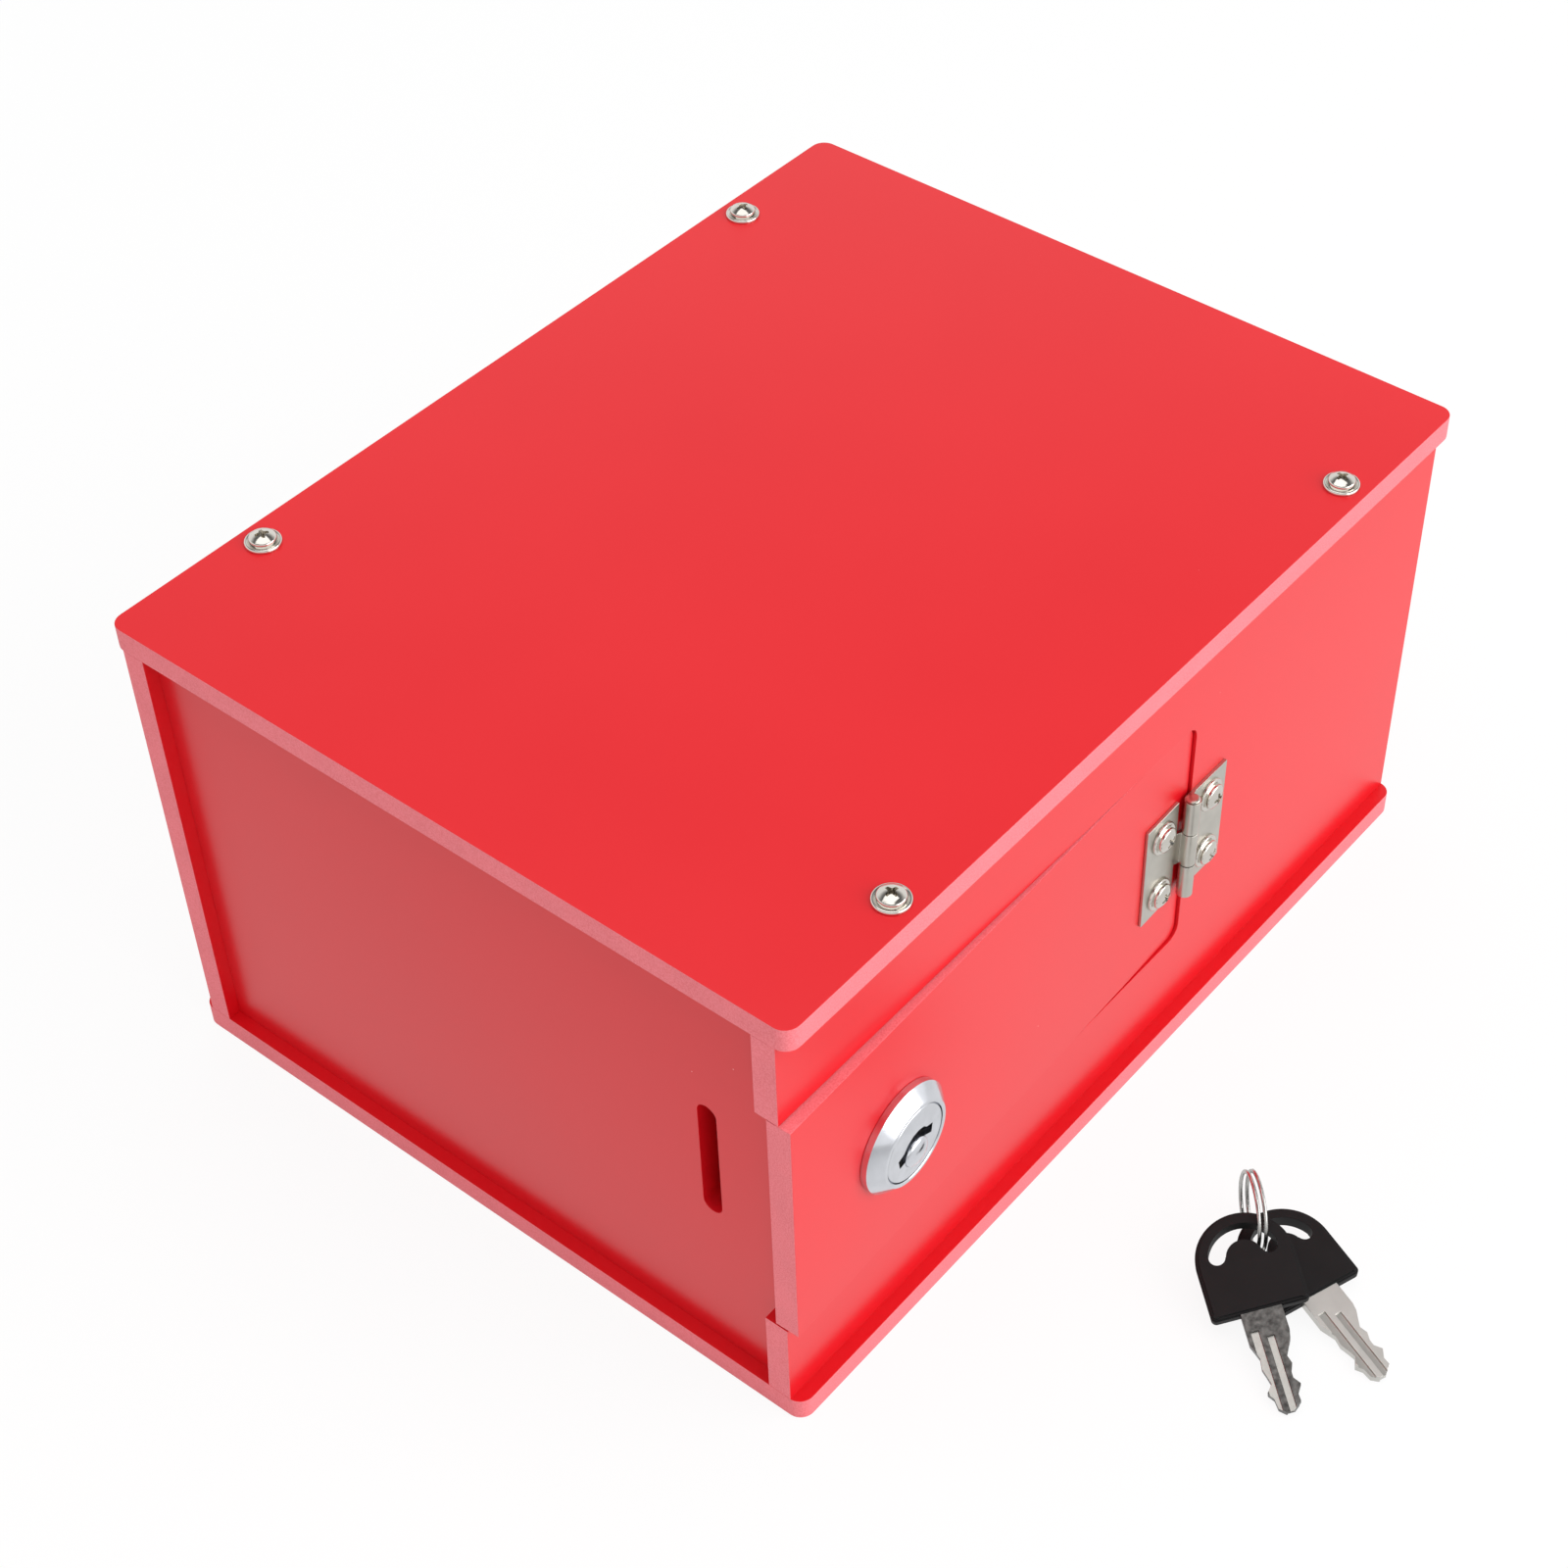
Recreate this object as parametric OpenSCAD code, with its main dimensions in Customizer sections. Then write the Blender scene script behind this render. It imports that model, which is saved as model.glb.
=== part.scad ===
// Small lockable ballot box of red foam board: two plates, four panels, a hinged door
// with a cam lock, and two keys on a split ring lying in front of it.
// The origin is the middle of the underside. The door side faces -Y, and +Z is up.
// The door stands slightly ajar and the lock's cam points up, clear of its slot.

/* [Box] */
// Length of the two plates, along the door side
body_w = 200; // [180:1:300]
// Depth of the two plates
body_d = 156; // [130:1:260]
// Overall height of the box without its screw heads
body_h = 105.5; // [100:0.5:180]
// Thickness of the foam board
board_t = 5; // [4:0.5:6]
// Corner radius of the plates
plate_corner_r = 3; // [1:0.5:8]
// How far the front and back panels stand back from the plates' edges
panel_setback = 2.8; // [1:0.1:6]
// How far the end panels stand back from the plates' ends
end_setback = 2.8; // [2:0.1:5]

/* [Posting slot] */
// Length of the posting slot in the back panel
post_slot_len = 120; // [60:1:150]
// Height of the posting slot
post_slot_h = 8; // [5:0.5:12]
// Middle of the posting slot below the top plate
post_slot_drop = 16; // [10:1:30]

/* [Screws] */
// Diameter of a screw's thread
screw_d = 3; // [2.5:0.1:4]
// Diameter of the flange of a screw's head
screw_flange_d = 7; // [6:0.1:8]
// Thickness of that flange
screw_flange_t = 0.7; // [0.4:0.1:1]
// Diameter of the dome on the flange
screw_dome_d = 5.2; // [4:0.1:5.5]
// Height of the dome above the flange
screw_dome_h = 1.5; // [1.2:0.1:1.7]
// Length of the screws that hold the top plate
plate_screw_len = 16; // [10:1:18]
// Distance of those screws from the plates' ends
plate_screw_inset = 32.5; // [15:0.5:50]
// Length of the hinge's screws
hinge_screw_len = 5; // [3:0.5:5.5]

/* [Door] */
// Length of the door opening, from the open end of the front panel
opening_len = 119.5; // [100:0.5:130]
// Height of the door opening
opening_h = 56; // [50:0.5:60]
// Lower edge of the door opening above the underside of the box
opening_z = 25.5; // [20:0.5:30]
// Corner radius of the opening at its hinge side
opening_r = 3; // [2:0.5:6]
// Gap between the door and the edges of its opening
door_gap = 0.3; // [0.2:0.05:0.5]
// How far the door's face lies behind the front panel's at the hinge
door_sink = 0.6; // [0.3:0.1:1]
// How far the free end of the door stands back from the plates' ends
door_end_in = 0.2; // [0:0.1:1]
// Angle by which the door stands ajar, in degrees
door_ajar = 1.45; // [1.2:0.05:1.6]

/* [Hinge] */
// Width of a hinge leaf, from the pin's axis to its outer edge
leaf_w = 12.7; // [11.5:0.1:14]
// Height of the hinge
leaf_h = 25; // [22:0.5:30]
// Thickness of the hinge's sheet metal
leaf_t = 0.7; // [0.5:0.05:0.8]
// Diameter of the hinge's barrel
barrel_d = 3.2; // [3:0.1:4]
// Diameter of the hinge's pin
pin_d = 1.6; // [1.2:0.1:1.7]
// Clearance around the pin in the door's knuckle
pin_fit = 0.05; // [0.02:0.01:0.1]
// Gap between neighbouring knuckles
knuckle_gap = 0.2; // [0.1:0.05:0.4]
// How far the pin stands from the end of the opening, over the door
pin_past_gap = 1.8; // [1.5:0.1:2.2]
// How far the middle of the hinge is below the middle of the door
hinge_drop = 1.2; // [0:0.1:3]
// Distance between a leaf's two screws
leaf_screw_pitch = 15; // [12:0.5:17]

/* [Lock] */
// Middle of the lock from the free end of the door
lock_from_end = 29; // [28:0.1:29.4]
// How far the lock's middle is below the door's
lock_drop = 0.8; // [0:0.1:2]
// Diameter of the bezel's rim
bezel_d = 22.2; // [20.5:0.1:26]
// Diameter of the bezel's front face
bezel_face_d = 17.5; // [16.8:0.1:19]
// Thickness of the rim before the bevel starts
bezel_rim_t = 1.45; // [0.8:0.05:2]
// Height of the bezel above the door
bezel_h = 3.6; // [3:0.1:5]
// Diameter of the threaded barrel
lock_barrel_d = 18; // [17:0.1:18.5]
// Width of the barrel across its two flats
lock_barrel_af = 16; // [15:0.1:17]
// Clearance around the barrel in the door
lock_hole_gap = 0.15; // [0.1:0.05:0.3]
// Length of the barrel behind the door's face
lock_barrel_len = 17.9; // [16:0.1:19]
// Width of the nut across its flats
nut_af = 22; // [20:0.5:24]
// Thickness of the nut
nut_t = 4; // [3:0.5:6]
// Clearance around the barrel in the nut
nut_fit = 0.05; // [0.02:0.01:0.1]
// Diameter of the turning plug
plug_d = 12; // [11.5:0.1:12.5]
// Diameter of the plug's face
plug_face_d = 15.5; // [14.5:0.1:15.8]
// Clearance around the plug in the barrel
plug_fit = 0.05; // [0.02:0.01:0.1]
// Gap that shows round the plug's face
plug_face_gap = 0.2; // [0.1:0.05:0.3]
// Width of the keyway
keyway_w = 8.9; // [8.4:0.1:9.2]
// Height of the keyway
keyway_h = 2.2; // [1.9:0.1:2.4]
// Diameter of the domed shutter in the keyway
shutter_d = 6.2; // [5.4:0.1:6.4]
// Number of wafers in the plug
wafer_n = 6; // [4:1:7]

/* [Cam] */
// Length of the cam from the lock's axis to its tip
cam_len = 25.7; // [25:0.1:26.4]
// Radius of the cam's tip
cam_tip_r = 5.7; // [4.5:0.1:6.5]
// Radius of the cam round the lock's axis
cam_root_r = 8; // [7:0.1:9]
// Thickness of the cam
cam_t = 1.6; // [1.2:0.1:2]
// Width of the square tail that drives the cam
tail_af = 5.6; // [5:0.1:6]
// Width of the slot in the end panel that takes the cam
cam_slot_w = 4.2; // [4.2:0.1:5]
// Reach of that slot below the lock's axis
cam_slot_below = 10.6; // [9:0.1:16]

/* [Keys] */
// Width of a key's bow
bow_w = 18.5; // [17:0.1:22]
// Length of a key's bow
bow_len = 19.8; // [19:0.1:22]
// Thickness of a key's bow
bow_t = 2.8; // [2.2:0.1:3]
// Width of a key's blade
blade_w = 7.8; // [7.2:0.1:8.3]
// Length of a key's blade outside its bow
blade_len = 19.6; // [18:0.1:24]
// Thickness of a key's blade
blade_t = 1.8; // [1.4:0.1:2]
// Depth of the deepest cut in a blade's edge
cut_depth = 2; // [1.2:0.1:2.2]
// Depth of the two grooves in each face of a blade
groove_d = 0.5; // [0.3:0.05:0.6]
// Outer diameter of the split ring
ring_d = 15.8; // [15:0.1:18]
// Diameter of the ring's wire
ring_wire_d = 0.8; // [0.7:0.05:0.8]
// Distance between the middles of the ring's two turns
ring_pitch = 1.24; // [1.24:0.01:1.3]
// Place of the upper key's ring hole along the door side
keys_x = -21.1; // [-60:0.1:60]
// Distance of that hole in front of the box
keys_front = 45.3; // [40:0.1:80]
// Direction of the upper key's tip, in degrees from +X
key_a_turn = 231; // [228:0.5:234]
// Direction of the lower key's tip, in degrees from +X
key_b_turn = 249.5; // [247:0.5:254]
// Slope of the upper key, which leans on the lower one
key_a_tilt = 12; // [11.5:0.1:13.5]
// Roll of the upper key, whose ring side is the higher one
key_a_roll = 10; // [9.5:0.1:11]
// Slope of the lower key
key_b_tilt = 5; // [4.5:0.1:5.5]
// Roll of the lower key
key_b_roll = 2; // [1:0.1:3]

/* [Hidden] */
$fn = 64;

RED = [0.82, 0.07, 0.1];
NICKEL = [0.78, 0.76, 0.73];
CHROME = [0.86, 0.87, 0.9];
BLACK = [0.12, 0.12, 0.12];

// Cutters reach this far past the faces that they cut
cut = 1;

panel_h = body_h - 2 * board_t;
panel_y = body_d / 2 - panel_setback;
panel_mid_y = panel_y - board_t / 2;
end_x = body_w / 2 - end_setback;

// Screws
screw_tip_h = screw_d;
screw_hole_gap = 0.1;
plate_screw_x = body_w / 2 - plate_screw_inset;
screw_wall_h = 0.8;
recess_turn = 20;
recess_w = 0.8;
recess_len = 3;
recess_depth = 1.2;

// Hinge: the pin's axis stands a barrel's radius in front of the panel
barrel_r = barrel_d / 2;
hinge_x = -body_w / 2 + opening_len - pin_past_gap;
hinge_y = -panel_y - barrel_r;
hinge_z = opening_z + opening_h / 2 - hinge_drop;
knuckle_h = leaf_h / 3;
leaf_clear = 0.7;
frame_web = [0.8, 0.45];
door_web = [0.75, 0.66];
leaf_inner = barrel_r + leaf_clear;
leaf_screw_x = (leaf_inner + leaf_w) / 2;
pin_head_h = 0.4;

// Door, drawn from the pin's axis: x towards the hinge side, y into the box
door_face_y = barrel_r + door_sink;
door_hinge_end = pin_past_gap - door_gap;
door_free_end = -(hinge_x + body_w / 2 - door_end_in);
door_z = opening_z + door_gap;
door_h = opening_h - 2 * door_gap;

// Lock, drawn from the door's face: x along the door, y up, z outwards
lock_x = door_free_end + lock_from_end;
lock_z = opening_z + opening_h / 2 - lock_drop;
plug_face_in = 0.1;
plug_head_t = 1.4;
turn_gap = 0.2;
plug_end = lock_barrel_len + turn_gap;
stop_disc_t = 1.2;
stop_disc_d = 16.4;
stop_root_r = 6.4;
stop_lug_r = 8.6;
stop_lug_angle = 24;
stop_play = 3;
lock_travel = 90;
cam_front = plug_end + stop_disc_t;
cam_back = cam_front + cam_t;
tail_gap = 0.05;
tail_short = 0.2;
cam_washer_d = 9;
cam_washer_t = 0.8;
cam_screw_d = 4;
cam_screw_head_d = 7.6;
cam_screw_head_h = 2;
cam_screw_len = 7;
keyway_depth = 13;
keyway_step = 0.9;
shutter_x = 0.2;
shutter_y = -2.3;
shutter_back = 1.3;
shutter_dome_h = 1.2;
shutter_pocket = -0.5;
wafer_len = 11.2;
wafer_h = 4.2;
wafer_t = 0.9;
wafer_gap = 0.05;
wafer_first = 1.6;
wafer_pitch = 1.7;
wafer_window_w = keyway_w + 0.2;
wafer_window_h = keyway_h + 0.2;
spring_d = 0.9;
spring_len = 3;
spring_y = wafer_h / 2 + 0.8;

// Cam slot in the end panel: its place follows the cam when it is locked, with the door ajar
cam_tip_x = -lock_x + cam_len;
cam_front_y = hinge_y + (door_face_y + cam_front) * cos(door_ajar) - cam_tip_x * sin(door_ajar);
cam_slot_play = 0.8;
cam_slot_above = 3.3;
cam_slot_y = cam_front_y - cam_slot_play;
cam_to_wall = hinge_x + lock_x + end_x - board_t;
cam_slot_top = lock_z + sqrt(cam_len * cam_len - cam_to_wall * cam_to_wall)
    + cam_slot_above;
cam_slot_bottom = lock_z - cam_slot_below;

// Keys, drawn from the middle of the bow's round end: x towards the tip, y to the left
bow_r = bow_w / 2;
bow_bevel = 0.7;
bow_corner_r = 1;
bow_flat = bow_len - bow_r;
eye_x = -0.1;
eye_in = 3.5;
eye_out = 6.8;
eye_span = 76;
eye_end_r = 1.55;
hole_r = 5;
hole_angle = 56;
hole_x = eye_x - hole_r * cos(hole_angle);
hole_y = hole_r * sin(hole_angle);
blade_head = 7;
blade_tip = bow_flat + blade_len;
side_groove_w = 1.5;
side_groove_y = -2.35;
side_groove_from = 3.5;
mid_groove_w = 1.3;
mid_groove_y = 0.25;
mid_groove_from = 5;
blade_tip_left = 0.3;
blade_tip_right = -1.1;
// Cuts along a blade's two edges: shares of its length and of the deepest cut
left_cuts = [[0.24, 0], [0.32, 0.17], [0.48, 0.95], [0.56, 0.7], [0.64, 1], [0.7, 1],
    [0.77, 0.5], [0.855, 1], [0.93, 0.95]];
right_cuts = [[0.29, 0], [0.44, 0.55], [0.54, 0.42], [0.62, 0.65], [0.7, 0.85],
    [0.785, 0.25], [0.85, 0.7], [0.945, 0.8]];

// Ring and keys in the box's frame
ring_r = (ring_d - ring_wire_d) / 2;
ring_z = ring_d / 2;
ring_dir = 46;
ring_start = 40;
ring_step_from = 320;
ring_step_by = 80;
ring_split_at = -100;
ring_sides = 6;
ring_steps = 48;
ring_turn = 640;
key_a_z = hole_height(key_a_tilt, key_a_roll, 1);
key_b_z = hole_height(key_b_tilt, key_b_roll, -1);
key_a_out = sqrt(ring_r * ring_r - pow(key_a_z - ring_z, 2));
key_b_out = sqrt(ring_r * ring_r - pow(key_b_z - ring_z, 2));
ring_unit = [cos(ring_dir), sin(ring_dir)];
key_a_at = [keys_x, -body_d / 2 - keys_front];
ring_at = key_a_at + key_a_out * ring_unit;
key_b_at = ring_at - key_b_out * ring_unit;

// Frames and helpers

module xz_prism(y0, t) {
    translate([0, y0 + t, 0]) rotate([90, 0, 0]) linear_extrude(t) children();
}

module yz_prism(x0, t) {
    translate([x0, 0, 0]) rotate([90, 0, 90]) linear_extrude(t) children();
}

module at_hinge() {
    translate([hinge_x, hinge_y, 0]) children();
}

module on_door() {
    at_hinge() rotate([0, 0, door_ajar]) children();
}

module at_lock() {
    on_door() translate([lock_x, door_face_y, lock_z]) rotate([90, 0, 0]) children();
}

module round_rect(w, h, r) {
    union() {
        translate([r, 0]) square([w - 2 * r, h]);
        translate([0, r]) square([w, h - 2 * r]);
        for (x = [r, w - r], y = [r, h - r]) translate([x, y]) circle(r);
    }
}

// A slot with full round ends that starts at the origin
module slot_outline(w, h) {
    r = min(w, h) / 2;
    union() {
        if (w > h) translate([r, 0]) square([w - h, h]);
        if (h > w) translate([0, r]) square([w, h - w]);
        translate([r, r]) circle(r);
        translate([w - r, h - r]) circle(r);
    }
}

// A rectangle whose two corners at its far end are round
module far_round_rect(w, h, r) {
    union() {
        square([w - r, h]);
        translate([0, r]) square([w, h - 2 * r]);
        for (y = [r, h - r]) translate([w - r, y]) circle(r);
    }
}

module plate() {
    translate([-body_w / 2, -body_d / 2, 0])
        linear_extrude(board_t) round_rect(body_w, body_d, plate_corner_r);
}

// A washer-head screw that points down, with the underside of its flange at zero
module washer_screw(len) {
    cap_h = screw_dome_h - screw_wall_h;
    dome_r = (pow(screw_dome_d / 2, 2) + pow(cap_h, 2)) / (2 * cap_h);
    top = screw_flange_t + screw_dome_h;
    difference() {
        union() {
            cylinder(d1 = screw_flange_d, d2 = screw_flange_d - screw_flange_t, h = screw_flange_t);
            intersection() {
                translate([0, 0, top - dome_r]) sphere(dome_r);
                translate([0, 0, screw_flange_t / 2]) cylinder(d = screw_dome_d, h = top);
            }
            translate([0, 0, screw_tip_h - len]) cylinder(d = screw_d, h = len - screw_tip_h);
            translate([0, 0, -len]) cylinder(d1 = screw_d / 4, d2 = screw_d, h = screw_tip_h);
        }
        for (turn = [0, 90]) rotate([0, 0, turn + recess_turn])
            translate([-recess_len / 2, -recess_w / 2, top - recess_depth])
                cube([recess_len, recess_w, recess_depth + cut]);
    }
}

module at_plate_screws() {
    for (x = [-plate_screw_x, plate_screw_x], y = [-panel_mid_y, panel_mid_y])
        translate([x, y, body_h]) children();
}

// Places of a leaf's two screws: side is 1 for the frame's leaf and -1 for the door's
module at_leaf_screws(side, face_y) {
    for (dz = [-leaf_screw_pitch / 2, leaf_screw_pitch / 2])
        translate([side * leaf_screw_x, face_y - leaf_t, hinge_z + dz]) rotate([90, 0, 0]) children();
}

// Plates and panels

module bottom_plate() {
    color(RED) plate();
}

module top_plate() {
    color(RED) difference() {
        translate([0, 0, body_h - board_t]) plate();
        at_plate_screws() translate([0, 0, -board_t - cut])
            cylinder(d = screw_d + 2 * screw_hole_gap, h = board_t + 2 * cut);
    }
}

module long_panel(y0) {
    difference() {
        translate([-body_w / 2, y0, board_t]) cube([body_w, board_t, panel_h]);
        at_plate_screws() translate([0, 0, -plate_screw_len + screw_tip_h])
            cylinder(d = screw_d, h = plate_screw_len);
        at_plate_screws() translate([0, 0, -plate_screw_len])
            cylinder(d1 = screw_d / 4, d2 = screw_d, h = screw_tip_h);
    }
}

module front_panel() {
    color(RED) difference() {
        long_panel(-panel_y);
        xz_prism(-panel_y - cut, board_t + 2 * cut)
            translate([-body_w / 2 - cut, opening_z])
                far_round_rect(opening_len + cut, opening_h, opening_r);
        at_hinge() at_leaf_screws(1, barrel_r) translate([0, 0, screw_tip_h - hinge_screw_len])
            cylinder(d = screw_d, h = hinge_screw_len);
        at_hinge() at_leaf_screws(1, barrel_r) translate([0, 0, -hinge_screw_len])
            cylinder(d1 = screw_d / 4, d2 = screw_d, h = screw_tip_h);
    }
}

module back_panel() {
    color(RED) difference() {
        long_panel(panel_y - board_t);
        xz_prism(panel_y - board_t - cut, board_t + 2 * cut)
            translate([-post_slot_len / 2, body_h - board_t - post_slot_drop - post_slot_h / 2])
                slot_outline(post_slot_len, post_slot_h);
    }
}

module end_panel(x0) {
    translate([x0, -panel_y + board_t, board_t])
        cube([board_t, 2 * (panel_y - board_t), panel_h]);
}

module left_panel() {
    color(RED) difference() {
        end_panel(-end_x);
        yz_prism(-end_x - cut, board_t + 2 * cut) translate([cam_slot_y, cam_slot_bottom])
            slot_outline(cam_slot_w, cam_slot_top - cam_slot_bottom);
    }
}

module right_panel() {
    color(RED) end_panel(end_x - board_t);
}

module plate_screws() {
    color(NICKEL) at_plate_screws() washer_screw(plate_screw_len);
}

// Hinge

// One leaf's plate and knuckles; face_y is the board's face that the plate lies on, and web is
// where the sheet's outer face meets the barrel, in shares of the barrel's radius
module leaf(side, face_y, knuckles, bore_d, web) {
    z0 = hinge_z - leaf_h / 2;
    x0 = side > 0 ? leaf_inner : -leaf_w;
    difference() {
        union() {
            translate([x0, face_y - leaf_t, z0]) cube([leaf_w - leaf_inner, leaf_t, leaf_h]);
            for (k = knuckles) translate([0, 0, z0 + k * knuckle_h + knuckle_gap / 2]) {
                cylinder(d = barrel_d, h = knuckle_h - knuckle_gap);
                linear_extrude(knuckle_h - knuckle_gap) polygon([
                    [side * (leaf_inner + leaf_t), face_y],
                    [side * (leaf_inner + leaf_t), face_y - leaf_t],
                    [side * leaf_inner, face_y - leaf_t],
                    [side * barrel_r * web[0], barrel_r * web[1]],
                    [0, barrel_r * 0.6],
                    [0, barrel_r],
                    [side * leaf_inner, face_y]]);
            }
        }
        translate([0, 0, z0 - cut]) cylinder(d = bore_d, h = leaf_h + 2 * cut);
        at_leaf_screws(side, face_y) translate([0, 0, -leaf_t - cut])
            cylinder(d = screw_d + 2 * screw_hole_gap, h = leaf_t + 2 * cut);
    }
}

module hinge_frame_leaf() {
    color(NICKEL) at_hinge() leaf(1, barrel_r, [0, 2], pin_d, frame_web);
}

module hinge_door_leaf() {
    color(NICKEL) on_door() leaf(-1, door_face_y, [1], pin_d + 2 * pin_fit, door_web);
}

module hinge_pin() {
    color(NICKEL) at_hinge() translate([0, 0, hinge_z - leaf_h / 2]) {
        cylinder(d = pin_d, h = leaf_h);
        translate([0, 0, leaf_h]) cylinder(d1 = barrel_d - pin_head_h, d2 = pin_d, h = pin_head_h);
    }
}

module hinge_frame_screws() {
    color(NICKEL) at_hinge() at_leaf_screws(1, barrel_r) washer_screw(hinge_screw_len);
}

module hinge_door_screws() {
    color(NICKEL) on_door() at_leaf_screws(-1, door_face_y) washer_screw(hinge_screw_len);
}

// Door

module barrel_outline(gap) {
    intersection() {
        circle(d = lock_barrel_d + 2 * gap);
        square([lock_barrel_d + 2, lock_barrel_af + 2 * gap], center = true);
    }
}

module door() {
    color(RED) difference() {
        on_door() xz_prism(door_face_y, board_t) translate([door_free_end, door_z])
            far_round_rect(door_hinge_end - door_free_end, door_h, opening_r - door_gap);
        at_lock() translate([0, 0, -board_t - cut]) linear_extrude(board_t + 2 * cut)
            barrel_outline(lock_hole_gap);
        on_door() at_leaf_screws(-1, door_face_y) translate([0, 0, screw_tip_h - hinge_screw_len])
            cylinder(d = screw_d, h = hinge_screw_len);
        on_door() at_leaf_screws(-1, door_face_y) translate([0, 0, -hinge_screw_len])
            cylinder(d1 = screw_d / 4, d2 = screw_d, h = screw_tip_h);
    }
}

// Lock

// A ring sector, from the x axis round to the given angle
module sector(r_in, r_out, angle) {
    rotate_extrude(angle = angle) translate([r_in, 0]) square([r_out - r_in, stop_disc_t]);
}

module lock_body() {
    lug_t = cam_front - lock_barrel_len - turn_gap;
    color(CHROME) at_lock() difference() {
        union() {
            cylinder(d = bezel_d, h = bezel_rim_t);
            translate([0, 0, bezel_rim_t])
                cylinder(d1 = bezel_d, d2 = bezel_face_d, h = bezel_h - bezel_rim_t);
            translate([0, 0, -lock_barrel_len]) linear_extrude(lock_barrel_len) barrel_outline(0);
            intersection() {
                translate([0, 0, -lock_barrel_len - lug_t]) rotate([0, 0, -stop_lug_angle / 2])
                    rotate_extrude(angle = stop_lug_angle)
                        translate([stop_root_r + 0.4, 0]) square([stop_lug_r - stop_root_r - 0.4, lug_t + cut]);
                translate([0, 0, -lock_barrel_len - cut * 3]) cylinder(d = lock_barrel_d, h = cut * 4);
            }
        }
        translate([0, 0, -lock_barrel_len - cut])
            cylinder(d = plug_d + 2 * plug_fit, h = lock_barrel_len + bezel_h + 2 * cut);
        translate([0, 0, bezel_h - plug_face_in - plug_head_t - plug_face_gap])
            cylinder(d = plug_face_d + 2 * plug_face_gap, h = plug_head_t + 2 * cut);
    }
}

module lock_nut() {
    color(NICKEL) at_lock() translate([0, 0, -board_t - nut_t]) difference() {
        cylinder(d = nut_af / cos(30), h = nut_t, $fn = 6);
        translate([0, 0, -cut]) cylinder(d = lock_barrel_d + 2 * nut_fit, h = nut_t + 2 * cut);
    }
}

// The keyway, stepped where the blade has its grooves
module keyway() {
    third = keyway_w / 3;
    translate([-keyway_w / 2, -keyway_h / 2 - keyway_step / 2]) square([third + 0.3, keyway_h]);
    translate([-keyway_w / 2, -keyway_h / 2]) square([keyway_w, keyway_h]);
    translate([-third / 2 - 0.2, -keyway_h / 2 + keyway_step]) square([third + 1.2, keyway_h]);
    translate([keyway_w / 2 - third / 2, -keyway_h / 2 - 0.2]) square([third / 2, keyway_h]);
}

module at_wafers() {
    for (k = [0 : wafer_n - 1]) translate([0, 0, -wafer_first - k * wafer_pitch - wafer_t]) children();
}

module lock_plug() {
    face = bezel_h - plug_face_in;
    color(CHROME) at_lock() difference() {
        union() {
            translate([0, 0, -plug_end]) cylinder(d = plug_d, h = plug_end + face - plug_head_t);
            translate([0, 0, face - plug_head_t]) cylinder(d = plug_face_d, h = plug_head_t);
            translate([-tail_af / 2, -tail_af / 2, tail_short - cam_back])
                cube([tail_af, tail_af, cam_back - plug_end]);
        }
        translate([0, 0, face - keyway_depth]) linear_extrude(keyway_depth + cut) keyway();
        translate([shutter_x, shutter_y, shutter_pocket])
            cylinder(d = shutter_d + 2 * plug_fit, h = face + cut - shutter_pocket);
        at_wafers() translate([-plug_d, -wafer_h / 2 - wafer_gap, -wafer_gap])
            cube([2 * plug_d, wafer_h + 2 * wafer_gap, wafer_t + 2 * wafer_gap]);
        at_wafers() translate([0, spring_y, wafer_t / 2]) rotate([0, 90, 0])
            cylinder(d = spring_d + 4 * wafer_gap, h = spring_len);
        translate([0, 0, -cam_back - cut]) cylinder(d = cam_screw_d, h = cam_screw_len + cut);
    }
}

module lock_wafers() {
    color(NICKEL) at_lock() at_wafers() linear_extrude(wafer_t) difference() {
        square([wafer_len, wafer_h], center = true);
        square([wafer_window_w, wafer_window_h], center = true);
    }
}

module lock_wafer_springs() {
    color(NICKEL) at_lock() at_wafers() translate([0.1, spring_y, wafer_t / 2])
        rotate([0, 90, 0]) cylinder(d = spring_d, h = spring_len - 0.2);
}

// The shutter's dome fills the middle of the keyway until the key pushes it in
module lock_shutter() {
    face = bezel_h - plug_face_in;
    dome_r = (pow(shutter_d / 2, 2) + pow(shutter_dome_h, 2)) / (2 * shutter_dome_h);
    color(CHROME) at_lock() translate([shutter_x, shutter_y, shutter_back]) {
        cylinder(d = shutter_d, h = face - shutter_back);
        intersection() {
            translate([0, 0, face - shutter_back + shutter_dome_h - dome_r]) sphere(dome_r);
            translate([0, 0, face - shutter_back - 0.2]) cylinder(d = shutter_d, h = shutter_dome_h + cut);
        }
    }
}

// The disc turns with the plug, and its notch lets the lug on the barrel pass the travel
module lock_stop_disc() {
    notch = lock_travel + stop_lug_angle + 2 * stop_play;
    color(NICKEL) at_lock() translate([0, 0, -cam_front]) difference() {
        cylinder(d = stop_disc_d, h = stop_disc_t);
        translate([0, 0, -cut]) rotate([0, 0, -stop_lug_angle / 2 - stop_play - lock_travel])
            rotate_extrude(angle = notch)
                translate([stop_root_r, 0]) square([stop_lug_r, stop_disc_t + 2 * cut]);
        translate([-tail_af / 2 - tail_gap, -tail_af / 2 - tail_gap, -cut])
            cube([tail_af + 2 * tail_gap, tail_af + 2 * tail_gap, stop_disc_t + 2 * cut]);
    }
}

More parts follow.
